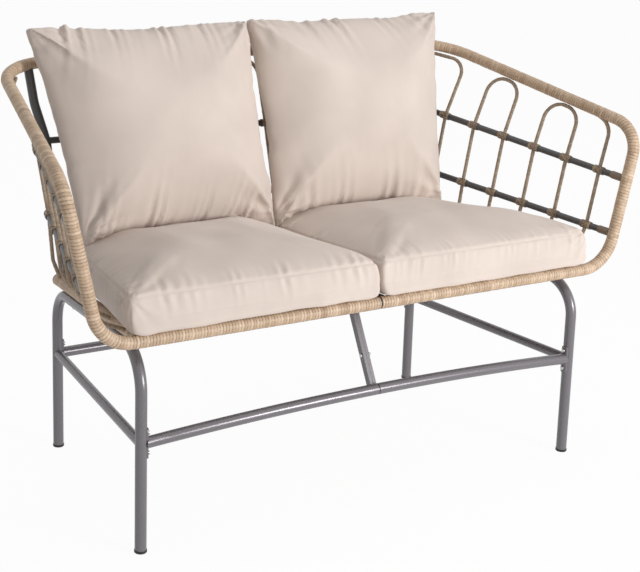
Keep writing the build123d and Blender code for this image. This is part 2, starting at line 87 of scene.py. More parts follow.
# Objects and meshes
def new_object(name, data):
    obj = bpy.data.objects.new(name, data)
    scene.collection.objects.link(obj)
    return obj


def shade_smooth(mesh):
    mesh.polygons.foreach_set("use_smooth", [True] * len(mesh.polygons))


def mesh_object(name, verts, faces, tones):
    """A mesh from points in millimetres, with named values on its points."""
    mesh = bpy.data.meshes.new(name)
    mesh.from_pydata((np.asarray(verts) * MM).tolist(), [], faces)
    shade_smooth(mesh)
    for key, values in tones.items():
        layer = mesh.attributes.new(key, "FLOAT", "POINT")
        layer.data.foreach_set("value", np.asarray(values, float).ravel())
    mesh.update()
    return new_object(name, mesh)


def dress(obj, material, slot, *replaced):
    """Gives a new piece its finish, hangs it under the root body and hides the parts it replaces."""
    obj.data.materials.append(material)
    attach(obj, "root")
    if replaced:
        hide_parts(*replaced)


# Paths and tubes, in millimetres
ARC_STEPS = 24
STRAIGHT_TURN = 1e-4
SAME_PLACE = 1e-6
ODD_DIRECTION = (0.31, 0.52, 0.79)


def unit(v):
    return v / np.linalg.norm(v)


def mirrored(points, sign):
    """A point or points of the right side, or with a sign of -1 their images on the left."""
    return np.array(points, float) * (sign, 1, 1)


def distances(points):
    """Each point's distance from the first one along a path."""
    steps = np.linalg.norm(np.diff(points, axis=0), axis=1)
    return np.concatenate([[0], np.cumsum(steps)])


def fillet_path(points, radii, step):
    """Even samples of a polyline whose corners are rounded, and their distances along it."""
    pts = [np.array(p, float) for p in points]
    dense = [pts[0]]
    for i, radius in enumerate(radii):
        a, b, c = pts[i], pts[i + 1], pts[i + 2]
        d1, d2 = unit(b - a), unit(c - b)
        turn = math.acos(float(np.clip(d1 @ d2, -1, 1)))
        if turn < STRAIGHT_TURN:
            dense.append(b)
            continue
        reach = radius * math.tan(turn / 2)
        side = unit(d2 - d1 * (d1 @ d2))
        start = b - d1 * reach
        centre = start + side * radius
        for k in range(ARC_STEPS + 1):
            ang = turn * k / ARC_STEPS
            dense.append(centre - side * radius * math.cos(ang) + d1 * radius * math.sin(ang))
    dense.append(pts[-1])
    dense = np.array(dense)
    gaps = np.linalg.norm(np.diff(dense, axis=0), axis=1)
    dense = dense[np.concatenate([[True], gaps > SAME_PLACE])]
    s = distances(dense)
    count = max(2, int(round(s[-1] / step)) + 1)
    t = np.linspace(0, s[-1], count)
    return np.stack([np.interp(t, s, dense[:, k]) for k in range(3)], 1), t


def ring_frames(path):
    """Two unit vectors across the path at each sample, without twist."""
    tangent = np.gradient(path, axis=0)
    tangent /= np.linalg.norm(tangent, axis=1)[:, None]
    across = [unit(np.cross(tangent[0], ODD_DIRECTION))]
    for k in range(1, len(path)):
        across.append(unit(across[-1] - tangent[k] * (across[-1] @ tangent[k])))
    across = np.array(across)
    return across, np.cross(tangent, across)


def ring_angles(segs):
    return np.arange(segs) * 2 * math.pi / segs


def ring_points(path, radius, segs):
    """Rings of points round a path. The radius is one number, or one for each point."""
    theta = ring_angles(segs)
    n1, n2 = ring_frames(path)
    out = np.cos(theta)[None, :, None] * n1[:, None, :] + np.sin(theta)[None, :, None] * n2[:, None, :]
    verts = path[:, None, :] + np.asarray(radius)[..., None] * out
    return verts.reshape(-1, 3)


def tube_faces(rings, segs, base):
    """Faces of a closed tube whose points start at the number given as base."""
    faces = []
    for k in range(rings - 1):
        a = base + k * segs
        for j in range(segs):
            j2 = (j + 1) % segs
            faces.append((a + j, a + j2, a + segs + j2, a + segs + j))
    faces.append(tuple(base + j for j in reversed(range(segs))))
    last = base + (rings - 1) * segs
    faces.append(tuple(last + j for j in range(segs)))
    return faces


# Windings: the width of a strand, the depth of the line between two turns, the points round
# the tube and the rings in each turn
RIM_WINDING = {"pitch": 6.4, "groove": 1.2, "segs": 28, "per_turn": 8}
RAIL_WINDING = {"pitch": 6.4, "groove": 0.9, "segs": 24, "per_turn": 8}
ROD_WINDING = {"pitch": 4.2, "groove": 0.15, "segs": 12, "per_turn": 5}
STRAND_PLAY = 0.3
LIFT_SPREAD = 0.11
TILT_SPREAD = 0.12
STRAND_TONES = (0.5, 0.2)
# Strength of the painted shade in the grooves between turns, drawn for each turn, and its least value
GROOVE_SHADE_TONES = (0.75, 0.3)
LEAST_GROOVE_SHADE = 0.2
GROOVE_SHARPNESS = 9
# How tightly the painted groove shade keeps to the line between two turns
GROOVE_SHADE_SHARPNESS = 6
SPARE_TURNS = 3


def wound_data(path, s, radius, pitch, groove, segs, rng):
    """Points and tones of a tube with flat cane wound round it, and the painted shade in the grooves
    between its turns.
    """
    phase = s[:, None] / pitch + ring_angles(segs)[None, :] / (2 * math.pi) + SPARE_TURNS
    turn = np.floor(phase).astype(int)
    count = turn.max() + SPARE_TURNS
    u = phase - turn
    edge = np.abs(2 * u - 1)
    lift = rng.normal(0, LIFT_SPREAD, count)[turn]
    tilt = rng.normal(0, TILT_SPREAD, count)[turn] * (u - 0.5)
    play = np.clip(lift + tilt, -STRAND_PLAY, STRAND_PLAY)
    tone = np.clip(rng.normal(*STRAND_TONES, count)[turn], 0, 1)
    # gap is the strength of the painted shade in this turn's groove
    gap = np.clip(rng.normal(*GROOVE_SHADE_TONES, count)[turn], LEAST_GROOVE_SHADE, 1)
    verts = ring_points(path, radius - STRAND_PLAY - groove * edge ** GROOVE_SHARPNESS + play, segs)
    return verts, tone.ravel(), (gap * edge ** GROOVE_SHADE_SHARPNESS).ravel()


def wound_object(name, jobs, radius, seed, pitch, groove, segs, per_turn):
    """One object of one or more wound tubes. jobs is a list of (points, radii)."""
    rng = np.random.default_rng(seed)
    all_verts, all_faces, tones, groove_shades, base = [], [], [], [], 0
    for points, radii in jobs:
        path, s = fillet_path(points, radii, pitch / per_turn)
        # dark is the painted shade in the grooves between turns
        verts, tone, dark = wound_data(path, s, radius, pitch, groove, segs, rng)
        all_verts.append(verts)
        all_faces += tube_faces(len(path), segs, base)
        base += len(verts)
        tones.append(tone)
        groove_shades.append(dark)
    # The groove attribute carries the painted shade between turns
    values = {"tone": np.concatenate(tones), "groove": np.concatenate(groove_shades)}
    return mesh_object(name, np.concatenate(all_verts), all_faces, values)


# Materials
def linear(r, g, b):
    """Linear colour from 0 to 255 display values."""
    out = []
    for c in (r, g, b):
        c /= 255
        out.append(c / 12.92 if c <= 0.04045 else ((c + 0.055) / 1.055) ** 2.4)
    return (*out, 1.0)


def new_material(name):
    mat = bpy.data.materials.new(name)
    mat.use_nodes = True
    tree = mat.node_tree
    return mat, tree, tree.nodes["Principled BSDF"]


def link(tree, a, out, b, into):
    tree.links.new(a.outputs[out], b.inputs[into])


def maths(tree, operation):
    node = tree.nodes.new("ShaderNodeMath")
    node.operation = operation
    return node


def colour_mix(tree, blend="MIX"):
    node = tree.nodes.new("ShaderNodeMix")
    node.data_type = "RGBA"
    node.blend_type = blend
    return node


def attribute(tree, name):
    node = tree.nodes.new("ShaderNodeAttribute")
    node.attribute_name = name
    return node


def noise(tree, scale, detail):
    coord = tree.nodes.new("ShaderNodeTexCoord")
    tex = tree.nodes.new("ShaderNodeTexNoise")
    tex.inputs["Scale"].default_value = scale
    tex.inputs["Detail"].default_value = detail
    link(tree, coord, "Object", tex, "Vector")
    return tex


def bump(tree, bsdf, source, output, distance, strength):
    node = tree.nodes.new("ShaderNodeBump")
    node.inputs["Strength"].default_value = strength
    node.inputs["Distance"].default_value = distance
    link(tree, source, output, node, "Height")
    link(tree, node, "Normal", bsdf, "Normal")


def ramp(tree, source, stops):
    """Colours for the values of a texture or an attribute."""
    node = tree.nodes.new("ShaderNodeValToRGB")
    for element, (at, colour) in zip(node.color_ramp.elements, stops):
        element.position = at
        element.color = colour
    link(tree, source, "Fac", node, "Fac")
    return node


def shaded(tree, source, colour, darker, lighter):
    """One colour, made darker and lighter by a noise."""
    return ramp(tree, source, [
        (0.3, [c * darker for c in colour[:3]] + [1]),
        (0.7, [c * lighter for c in colour[:3]] + [1]),
    ])


def steel(name, colour, rough, metal):
    """A hard surface, painted, plated or moulded, with a fine speckle."""
    mat, tree, bsdf = new_material(name)
    speckle = noise(tree, scale=900, detail=2)
    shades = shaded(tree, speckle, colour, darker=0.9, lighter=1.1)
    link(tree, shades, "Color", bsdf, "Base Color")
    bsdf.inputs["Roughness"].default_value = rough
    bsdf.inputs["Metallic"].default_value = metal
    bump(tree, bsdf, speckle, "Fac", distance=0.0002, strength=0.35)
    return mat


# Painted shade line where the two halves of a stretcher meet: half its width and its colour
JOINT_SHADE_HALF = 0.001
JOINT_SHADE_COLOUR = linear(38, 36, 37)
GRAIN_DARK = (0.78, 0.76, 0.74, 1)
GRAIN_LIGHT = (1.08, 1.08, 1.08, 1)


def with_painted_joint_shade(mat):
    """Steel with a painted shade line where the two halves of a stretcher meet, in place of the shade in
    the narrow gap between them.
    """
    tree = mat.node_tree
    bsdf = tree.nodes["Principled BSDF"]
    paint = bsdf.inputs["Base Color"].links[0].from_node
    coord = tree.nodes.new("ShaderNodeTexCoord")
    axes = tree.nodes.new("ShaderNodeSeparateXYZ")
    link(tree, coord, "Object", axes, "Vector")
    away = maths(tree, "ABSOLUTE")
    link(tree, axes, "X", away, 0)
    # Points within half the line's width of the joint get the painted shade
    joint_shade_mask = maths(tree, "LESS_THAN")
    joint_shade_mask.inputs[1].default_value = JOINT_SHADE_HALF
    link(tree, away, 0, joint_shade_mask, 0)
    mixed = colour_mix(tree)
    mixed.inputs["B"].default_value = JOINT_SHADE_COLOUR
    link(tree, joint_shade_mask, 0, mixed, "Factor")
    link(tree, paint, "Color", mixed, "A")
    link(tree, mixed, "Result", bsdf, "Base Color")
    return mat


def cane(name, dark, light, gap):
    """Cane strands: each turn has its own tone, with painted shade in the grooves between the turns."""
    mat, tree, bsdf = new_material(name)
    shades = ramp(tree, attribute(tree, "tone"), [(0.0, dark), (1.0, light)])
    grain = noise(tree, scale=260, detail=4)
    grain_shades = ramp(tree, grain, [(0.25, GRAIN_DARK), (0.75, GRAIN_LIGHT)])
    grained = colour_mix(tree, "MULTIPLY")
    grained.inputs["Factor"].default_value = 1.0
    link(tree, shades, "Color", grained, "A")
    link(tree, grain_shades, "Color", grained, "B")
    mixed = colour_mix(tree)
    # The groove attribute lays painted shade into the lines between turns; gap is its colour
    link(tree, attribute(tree, "groove"), "Fac", mixed, "Factor")
    link(tree, grained, "Result", mixed, "A")
    mixed.inputs["B"].default_value = gap
    link(tree, mixed, "Result", bsdf, "Base Color")
    bsdf.inputs["Roughness"].default_value = 0.5
    bump(tree, bsdf, grain, "Fac", distance=0.0004, strength=0.5)
    return mat


def fabric(name, colour):
    """Woven cloth: a mottled colour over the bump of warp and weft."""
    mat, tree, bsdf = new_material(name)
    coord = tree.nodes.new("ShaderNodeTexCoord")
    weave = maths(tree, "ADD")
    for socket, axis in enumerate(("X", "Z")):
        wave = tree.nodes.new("ShaderNodeTexWave")
        wave.bands_direction = axis
        wave.inputs["Scale"].default_value = 210
        wave.inputs["Distortion"].default_value = 1.2
        wave.inputs["Detail"].default_value = 1.0
        link(tree, coord, "Object", wave, "Vector")
        link(tree, wave, "Fac", weave, socket)
    shades = shaded(tree, noise(tree, scale=9, detail=4), colour, darker=0.93, lighter=1.03)
    link(tree, shades, "Color", bsdf, "Base Color")
    bsdf.inputs["Roughness"].default_value = 0.9
    bsdf.inputs["Sheen Weight"].default_value = 0.15
    bsdf.inputs["Sheen Roughness"].default_value = 0.5
    bump(tree, bsdf, weave, 0, distance=0.0002, strength=0.25)
    return mat


PAINT = steel("grey_powder_coat", linear(117, 113, 117), rough=0.27, metal=0.3)
# Powder coat with a painted shade line at the stretchers' middle joint
PAINT_WITH_JOINT_SHADE = with_painted_joint_shade(steel("powder_coat_with_joint_shade", linear(117, 113, 117), rough=0.27, metal=0.3))
BAR_PAINT = steel("dark_powder_coat", linear(76, 74, 74), rough=0.42, metal=0.1)
TUBE = steel("inner_tube", linear(58, 54, 52), rough=0.5, metal=0.3)
ZINC = steel("zinc_plate", linear(190, 190, 188), rough=0.3, metal=1.0)
BLACK = steel("black_plastic", linear(28, 27, 27), rough=0.55, metal=0.0)
# The last colour of each cane is the painted shade in the grooves between turns
CANE = cane("tan_cane", linear(182, 154, 126), linear(222, 197, 170), linear(86, 62, 46))
ROD_CANE = cane("grey_brown_cane", linear(142, 124, 106), linear(186, 164, 140), linear(112, 96, 82))
LASH_CANE = cane("lashing_cane", linear(126, 108, 91), linear(186, 164, 137), linear(80, 66, 54))
FABRIC = fabric("oatmeal_cloth", linear(214, 200, 190))

FINISH = {
    "frame_steel": PAINT, "bar_steel": BAR_PAINT, "inner_steel": TUBE, "zinc_fastener": ZINC,
    "foot_plastic": BLACK, "cane_wrap": CANE, "rod_cane": ROD_CANE, "cushion_fabric": FABRIC,
}
SHARP_ANGLE = math.radians(38)
for part in frame["record"]["subparts"]:
    node = nodes[part["node"]]
    finish = FINISH[part["material_slot"]]
    if "lashings" in part["node"]:
        finish = LASH_CANE
    if "upright" in part["node"]:
        finish = BAR_PAINT
    # Stretchers get the painted shade line at the joint of their two halves
    if "stretcher" in part["node"] and finish is PAINT:
        finish = PAINT_WITH_JOINT_SHADE
    node.data.materials.clear()
    node.data.materials.append(finish)
    shade_smooth(node.data)
    node.data.set_sharp_from_angle(angle=SHARP_ANGLE)


# Wound rims and seat rails
def seat_line(y):
    """A point of the seat's side rail, which lies on the leg frame's top tube."""
    run = y - LEG_FRONT_Y
    x = LEG_FRONT_X - (LEG_FRONT_X - LEG_REAR_X) * (run / LEG_RUN)
    return (x, y, LEG_FRONT_Z + SLOPE * run + SEAT_LIFT)


WINDING_SEEDS = {"right": 23, "left": 11}
SIDE_RAIL_FRONT_INSET = 3
SIDE_RAIL_REAR_INSET = 1
REAR_RAIL_START_X = 1.4
REAR_RAIL_END_INSET = 3
REAR_RAIL_Z = seat_line(REAR_RAIL_Y)[2]


def wind(name, points, bends, sign, seed, winding, node):
    """Winds cane round one tube, in place of the node that stands for it."""
    tube = wound_object(name, [(mirrored(points, sign), bends)], RIM_RADIUS, seed, **winding)
    dress(tube, CANE, "cane_wrap", node)


for side, sign in SIDES:
    seed = WINDING_SEEDS[side]
    wind(f"{side}_rim_winding", RIM_POINTS, RIM_BENDS, sign, seed, RIM_WINDING, f"{side}_rim_wrap")
    wrap = f"{side}_seat_side_rail_wrap"
    low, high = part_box(wrap)
    ends = [seat_line(low[1] / MM + SIDE_RAIL_FRONT_INSET), seat_line(high[1] / MM - SIDE_RAIL_REAR_INSET)]
    wind(f"{side}_side_rail_winding", ends, [], sign, seed + 1, RAIL_WINDING, wrap)
    wrap = f"{side}_seat_rear_rail_wrap"
    reach = max(abs(v[0]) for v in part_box(wrap)) / MM
    ends = [(x, REAR_RAIL_Y, REAR_RAIL_Z) for x in (REAR_RAIL_START_X, reach - REAR_RAIL_END_INSET)]
    wind(f"{side}_rear_rail_winding", ends, [], sign, seed + 2, RAIL_WINDING, wrap)


# Rods of the lattice
def on_line(a, b, value, axis=1):
    """The point of the line through a and b whose coordinate on that axis is the value."""
    return a + (b - a) * ((value - a[axis]) / (b[axis] - a[axis]))


POST_FOOT, ARM_FRONT, ARM_REAR = [np.array(p, float) for p in RIM_POINTS[1:4]]
ARM = ARM_REAR - ARM_FRONT
LOWER_POST = on_line(POST_FOOT, ARM_FRONT, 480.0, axis=2)
UPPER_POST = on_line(POST_FOOT, ARM_FRONT, 596.5, axis=2)
LOWER_CORNER = np.array((490, 198, 527.0))
UPPER_CORNER = np.array((503, 242, 671.0))
LOWER_KNOT = LOWER_CORNER - (18, 0, 0)
UPPER_KNOT = UPPER_CORNER - (28, 0, 0)
ARCH_DROP = RIM_RADIUS + ROD_RADIUS + SEAT_CLEARANCE
SIDE_ELBOW_SHARES = (0.3, 0, 0.66)
BACK_ELBOW_Y, BACK_ELBOW_Z = 190, 460.0
SIDE_START, SIDE_STEP, SIDE_COUNT = -229, 83.5, 6
BACK_START, BACK_STEP, BACK_COUNT = 50.0, 84.0, 5
ROD_BENDS = [60, 60, 34]
SIDE_ARCH_BEND = 39
REAR_ARCH_BEND = 36
BACK_ARCH_BEND = 41
FRONT_TIP_RUN = 56
FRONT_TIP_RISE_SHARE = 0.8
REAR_TIP_X, REAR_TIP_Y, REAR_TIP_DROP = 532, 263, 5
BACK_TIP_X = 0.4
ROD_END_CUT = 12.0
ROD_INSET = 0.3
ROD_SEEDS = {"side": 5, "back": 7}


def under_rim(knot, rim_point, direction):
    """Where a rod from a knot towards the rim meets the rim's underside."""
    lean = unit(rim_point - knot)
    return rim_point - lean * (ARCH_DROP / np.linalg.norm(np.cross(lean, unit(direction))))


def side_rod(y):
    """Top, two knots, elbow and foot of a rod at the side."""
    upper, lower = on_line(UPPER_POST, UPPER_CORNER, y), on_line(LOWER_POST, LOWER_CORNER, y)
    foot = np.array(seat_line(y))
    elbow = lower + (foot - lower) * SIDE_ELBOW_SHARES
    return [under_rim(upper, on_line(ARM_FRONT, ARM_REAR, y), ARM), upper, lower, elbow, foot]


def back_rod(x):
    """Top, two knots, elbow and foot of a rod at the back."""
    upper, lower = np.array((x, *UPPER_KNOT[1:])), np.array((x, *LOWER_KNOT[1:]))
    elbow = np.array((x, BACK_ELBOW_Y, BACK_ELBOW_Z))
    foot = np.array((x, REAR_RAIL_Y, REAR_RAIL_Z))
    return [under_rim(upper, np.array((x, RAIL_Y, BACK_RAIL_Z)), X_AXIS), upper, lower, elbow, foot]


def hoop(a, b, bend):
    """Two rods joined by an arch under the rim."""
    return [*a[::-1], *b], ROD_BENDS[::-1] + [bend, bend] + ROD_BENDS


def half_arch(tip, points, bend):
    """One rod whose arch ends at a tip under the rim."""
    return [tip, *points], [bend] + ROD_BENDS


def shortened(points, both_ends):
    """Stops a rod at the surface of the rail it meets, rather than at the rail's centre."""
    pts = [np.array(p, float) for p in points]
    pts[-1] = pts[-1] - unit(pts[-1] - pts[-2]) * ROD_END_CUT
    if both_ends:
        pts[0] = pts[0] - unit(pts[0] - pts[1]) * ROD_END_CUT
    return pts


SIDE = [side_rod(SIDE_START + SIDE_STEP * i) for i in range(SIDE_COUNT)]
BACK = [back_rod(BACK_START + BACK_STEP * i) for i in range(BACK_COUNT)]
over_first = on_line(ARM_FRONT, ARM_REAR, SIDE[0][1][1])
front_tip = SIDE[0][0] + unit(ARM) * FRONT_TIP_RUN + (over_first - SIDE[0][0]) * FRONT_TIP_RISE_SHARE
rear_tip = np.array((REAR_TIP_X, REAR_TIP_Y, SIDE[5][0][2] + ARCH_DROP - REAR_TIP_DROP))
back_tip = np.array((BACK_TIP_X, *BACK[0][0][1:]))
ROD_JOBS = {
    "side": [
        half_arch(front_tip, SIDE[0], SIDE_ARCH_BEND),
        hoop(SIDE[1], SIDE[2], SIDE_ARCH_BEND),
        hoop(SIDE[3], SIDE[4], SIDE_ARCH_BEND),
        half_arch(rear_tip, SIDE[5], REAR_ARCH_BEND),
    ],
    "back": [
        half_arch(back_tip, BACK[0], BACK_ARCH_BEND),
        hoop(BACK[1], BACK[2], BACK_ARCH_BEND),
        hoop(BACK[3], BACK[4], BACK_ARCH_BEND),
    ],
}
HOOP_POINTS = 2 * len(SIDE[0])

for side, sign in SIDES:
    for label, jobs in ROD_JOBS.items():
        placed = []
        for points, bends in jobs:
            points = shortened(points, both_ends=len(points) == HOOP_POINTS)
            placed.append((mirrored(points, sign), bends))
        name = f"{side}_{label}_rod_windings"
        seed = ROD_SEEDS[label] + sign
        rods = wound_object(name, placed, ROD_RADIUS - ROD_INSET, seed, **ROD_WINDING)
        dress(rods, ROD_CANE, "rod_cane", f"{side}_{label}_rods")

# Cane lashings where rods cross bars
STRAND_RADIUS = 1.15
STRAND_SIDES = 6
LASHING_TONES = (0.5, 0.25)
COIL_RADIUS = BAR_RADIUS + 0.9
COIL_START = ROD_RADIUS + 1.2
COIL_LENGTH = 5.2
COIL_TURNS = 3
COIL_STEPS = 52
CROSSING_RADIUS = BAR_RADIUS + 1.2
CROSSING_REACH = 8.5
CROSSING_RISE = 6.0
CROSSING_STEPS = 12
CROSSING_ARC_SHARE = 0.78
SIDE_LASHING_SEED = 3
BACK_LASHING_SEED = 4


def lash_points(centre, along, across, out):
    """Coils round the bar on both sides of a rod, and two crossings over the rod."""
    lists = []
    for sign in (-1, 1):
        pts = []
        for k in range(COIL_STEPS + 1):
            share = k / COIL_STEPS
            ang = share * COIL_TURNS * 2 * math.pi
            at = sign * (COIL_START + share * COIL_LENGTH)
            pts.append(centre + along * at + COIL_RADIUS * (math.cos(ang) * across + math.sin(ang) * out))
        lists.append(pts)
    for sign in (-1, 1):
        for face in (-1, 1):
            pts = []
            for k in range(CROSSING_STEPS + 1):
                t = k / CROSSING_STEPS * 2 - 1
                bulge = CROSSING_RADIUS * math.sqrt(1 - (CROSSING_ARC_SHARE * t) ** 2)
                flat = centre + along * (t * CROSSING_REACH) + across * (sign * t * CROSSING_RISE)
                pts.append(flat + out * (face * bulge))
            lists.append(pts)
    return lists


def lashing_object(name, spots, seed):
    """The strands of every lashing on one side. spots is a list of (centre, along, across)."""
    rng = np.random.default_rng(seed)
    verts, faces, tones, base = [], [], [], 0
    for centre, along, across in spots:
        along = unit(along)
        across = unit(across - along * (across @ along))
        for pts in lash_points(centre, along, across, np.cross(along, across)):
            data = ring_points(np.array(pts), STRAND_RADIUS, STRAND_SIDES)
            verts.append(data)
            faces += tube_faces(len(pts), STRAND_SIDES, base)
            base += len(data)
            tones.append(np.full(len(data), np.clip(rng.normal(*LASHING_TONES), 0, 1)))
    # Lashings have no painted groove shade
    values = {"tone": np.concatenate(tones), "groove": np.zeros(base)}
    return mesh_object(name, np.concatenate(verts), faces, values)


def lashing_spots(rods, knot, along, sign):
    """Where a bar crosses each rod: knot 1 is at the upper bar and knot 2 at the lower."""
    return [(mirrored(rod[knot], sign), along, mirrored(rod[1] - rod[2], sign)) for rod in rods]


for side, sign in SIDES:
    lower_dir = mirrored(LOWER_CORNER - LOWER_POST, sign)
    upper_dir = mirrored(UPPER_CORNER - UPPER_POST, sign)
    spots = lashing_spots(SIDE, 2, lower_dir, sign) + lashing_spots(SIDE, 1, upper_dir, sign)
    lashes = lashing_object(f"{side}_side_lashing_strands", spots, SIDE_LASHING_SEED)
    dress(lashes, LASH_CANE, "cane_wrap")
    spots = [spot for rod in BACK for knot in (1, 2) for spot in lashing_spots([rod], knot, X_AXIS, sign)]
    lashes = lashing_object(f"{side}_back_lashing_strands", spots, BACK_LASHING_SEED)
    dress(lashes, LASH_CANE, "cane_wrap")

# Cushion cloth, in metres
NOT_ZERO = 1e-6
VOXEL = 0.005
CLOTH_INSET = 0.0005
HOLD_GROUP = "hold"
HOLD_REACH = 0.012
HOLD_FADE = 0.006
CLOTH_STEPS = 20
SOFTEN_STEPS = 10
PHASES = 6.28
FILL_LENGTHS = (0.09, 0.25)
FILL_WAVES = 7
FILL_SCALE = 3
GATHER_LENGTH_SHARES = (0.6, 1.7)
GATHER_HEIGHTS = (0.4, 1)
GATHER_WAVES = 9
GATHER_SCALE = 4
BROAD_FOLDS, FINE_FOLDS = (7, 10), (15, 19)
FINE_FOLD_SHARE = 0.6
FOLD_TILT = 0.4
FOLD_START = 0.03
GATHER_FALL = 1.5
GATHER_SLANT = 0.15
LULL_SEED_STEP = 7
LULL_LENGTH = 5
LULL_MIDDLE, LULL_SWING = 0.55, 0.9
LULL_LIMITS = (0.1, 1.2)


def apply_all(obj):
    """Turns the modified mesh into the object's own mesh."""
    graph = bpy.context.evaluated_depsgraph_get()
    mesh = bpy.data.meshes.new_from_object(obj.evaluated_get(graph))
    obj.modifiers.clear()
    obj.data = mesh


def vertex_values(obj, key):
    out = np.empty(len(obj.data.vertices) * 3)
    obj.data.vertices.foreach_get(key, out)
    return out.reshape(-1, 3)


def coords(obj):
    return vertex_values(obj, "co")


def normals(obj):
    return vertex_values(obj, "normal")


def set_coords(obj, co):
    obj.data.vertices.foreach_set("co", co.ravel())
    obj.data.update()


def displace(obj, distance):
    """Moves each point along its normal."""
    set_coords(obj, coords(obj) + normals(obj) * distance[:, None])


def fade(distance, reach, power=2):
    return np.exp(-(distance / reach) ** power)


def seam_distance(co, seams):
    """Each point's distance to the nearest seam and its place along that seam."""
    line = np.concatenate(seams)
    place = np.concatenate([distances(seam) for seam in seams])
    tree = kdtree.KDTree(len(line))
    for i, p in enumerate(line):
        tree.insert(p, i)
    tree.balance()
    found = [tree.find(p) for p in co]
    return np.array([f[2] for f in found]), place[[f[1] for f in found]]


def blow_up(obj, start, seams, cap, pressure):
    """Swells an object as cloth that is held along its seams, by no more than the cap."""
    dist, _ = seam_distance(start, seams)
    hold = obj.vertex_groups.new(name=HOLD_GROUP)
    weights = np.clip((HOLD_REACH - dist) / HOLD_FADE, 0, 1)
    for i in np.nonzero(weights)[0]:
        hold.add([int(i)], float(weights[i]), "REPLACE")
    cloth = obj.modifiers.new("cloth", "CLOTH")
    settings = cloth.settings
    settings.quality = 4
    settings.use_pressure = True
    settings.uniform_pressure_force = pressure
    settings.effector_weights.gravity = 0
    settings.tension_stiffness = 12
    settings.bending_stiffness = 0.6
    settings.vertex_group_mass = HOLD_GROUP
    scene.frame_start, scene.frame_end = 1, CLOTH_STEPS
    cloth.point_cache.frame_start, cloth.point_cache.frame_end = 1, CLOTH_STEPS
    for step in range(1, CLOTH_STEPS + 1):
        scene.frame_set(step)
    apply_all(obj)
    move = coords(obj) - start
    length = np.linalg.norm(move, axis=1)[:, None]
    move *= np.minimum(1, cap / np.maximum(length, NOT_ZERO))
    set_coords(obj, start + move)
    scene.frame_set(1)
    soften = obj.modifiers.new("soften", "SMOOTH")
    soften.iterations = SOFTEN_STEPS
    soften.vertex_group = HOLD_GROUP
    soften.invert_vertex_group = True


def puffed(name, node, seams, cap, pressure):
    obj = new_object(name, nodes[node].data.copy())
    remesh = obj.modifiers.new("remesh", "REMESH")
    remesh.mode = "VOXEL"
    remesh.voxel_size = VOXEL
    apply_all(obj)
    start = coords(obj) - normals(obj) * CLOTH_INSET
    set_coords(obj, start)
    blow_up(obj, start, seams, cap, pressure)
    subdivide = obj.modifiers.new("subdivide", "SUBSURF")
    subdivide.levels = subdivide.render_levels = 1
    apply_all(obj)
    shade_smooth(obj.data)
    return obj


def twin(obj, name):
    """A mirror image of a cushion for the other side."""
    copy = new_object(name, obj.data.copy())
    copy.data.transform(Matrix.Scale(-1, 4, (1, 0, 0)))
    copy.data.flip_normals()
    return copy


def corner_folds(obj, corners, amount, reach, seed):
    """Soft folds that fan out from each corner of a cushion."""
    rng = np.random.default_rng(seed)
    co = coords(obj)
    total = np.zeros(len(co))
    for corner in corners:
        away = co - corner
        dist = np.linalg.norm(away, axis=1)
        angle = np.arctan2(away[:, 2] + FOLD_TILT * away[:, 1], np.abs(away[:, 0]) + NOT_ZERO)
        swing = np.sin(rng.uniform(*BROAD_FOLDS) * angle + rng.uniform(0, PHASES))
        swing += FINE_FOLD_SHARE * np.sin(rng.uniform(*FINE_FOLDS) * angle + rng.uniform(0, PHASES))
        total += swing * fade(dist, reach) * (1 - fade(dist, FOLD_START))
    displace(obj, amount * total)


def slack(obj, amount, seed):
    """Broad uneven swelling, so that no two cushions are alike."""
    rng = np.random.default_rng(seed)
    co = coords(obj)
    total = np.zeros(len(co))
    for _ in range(FILL_WAVES):
        wave = rng.normal(0, 1, 3)
        wave *= 2 * math.pi / rng.uniform(*FILL_LENGTHS) / np.linalg.norm(wave)
        total += np.sin(co @ wave + rng.uniform(0, PHASES))
    displace(obj, amount * total / FILL_SCALE)


def smooth_noise(x, seed, scale):
    """Seeded sum of sines along a coordinate, for gathers."""
    rng = np.random.default_rng(seed)
    total = np.zeros_like(x)
    for _ in range(GATHER_WAVES):
        wave = scale * rng.uniform(*GATHER_LENGTH_SHARES)
        total += rng.uniform(*GATHER_HEIGHTS) * np.sin(2 * math.pi * x / wave + rng.uniform(0, PHASES))
    return total / GATHER_SCALE


def seam_work(obj, seams, depth, width, gather, reach, wave, seed):
    """Sinks a sewn line into a cushion, and gathers the cloth beside it."""
    dist, at = seam_distance(coords(obj), seams)
    sink = depth * fade(dist, width)
    fold = gather * fade(dist, reach, GATHER_FALL) * (1 - fade(dist, 2 * width))
    fold *= smooth_noise(at + GATHER_SLANT * dist, seed, wave)
    lull = smooth_noise(at, seed + LULL_SEED_STEP, wave * LULL_LENGTH)
    fold *= np.clip(LULL_MIDDLE + LULL_SWING * lull, *LULL_LIMITS)
    displace(obj, fold - sink)


# Seat cushions: boxed, with seams round the top and bottom and up the corners. Across is X,
# the run goes back along the rails' slope, and the height is square to both.
SLOPE_DIR = np.array((0, 1, SLOPE)) / SLOPE_STRETCH
SLOPE_UP = np.array((0, -SLOPE, 1)) / SLOPE_STRETCH
SEAT_CUSHION_GAP = 0.3
SEAT_FRONT_Z = seat_line(-RAIL_Y)[2] + RIM_RADIUS * SLOPE_STRETCH + SEAT_CUSHION_GAP
SEAT_ORIGIN = np.array((0, -RAIL_Y, SEAT_FRONT_Z))
SEAT_OUTLINE = [(1, -9), (539, -9), (458, 475.6), (1, 475.6)]
INWARD = [(1, 1), (-1, 1), (-1, -1), (1, -1)]
TOP_SEAM = {"height": 69, "inset": 5, "radius": 16}
BOTTOM_SEAM = {"height": 3, "inset": 6, "radius": 14}
CORNER_SEAMS = ((533, -3), (453, 470))
CORNER_SEAM_STEPS = 30
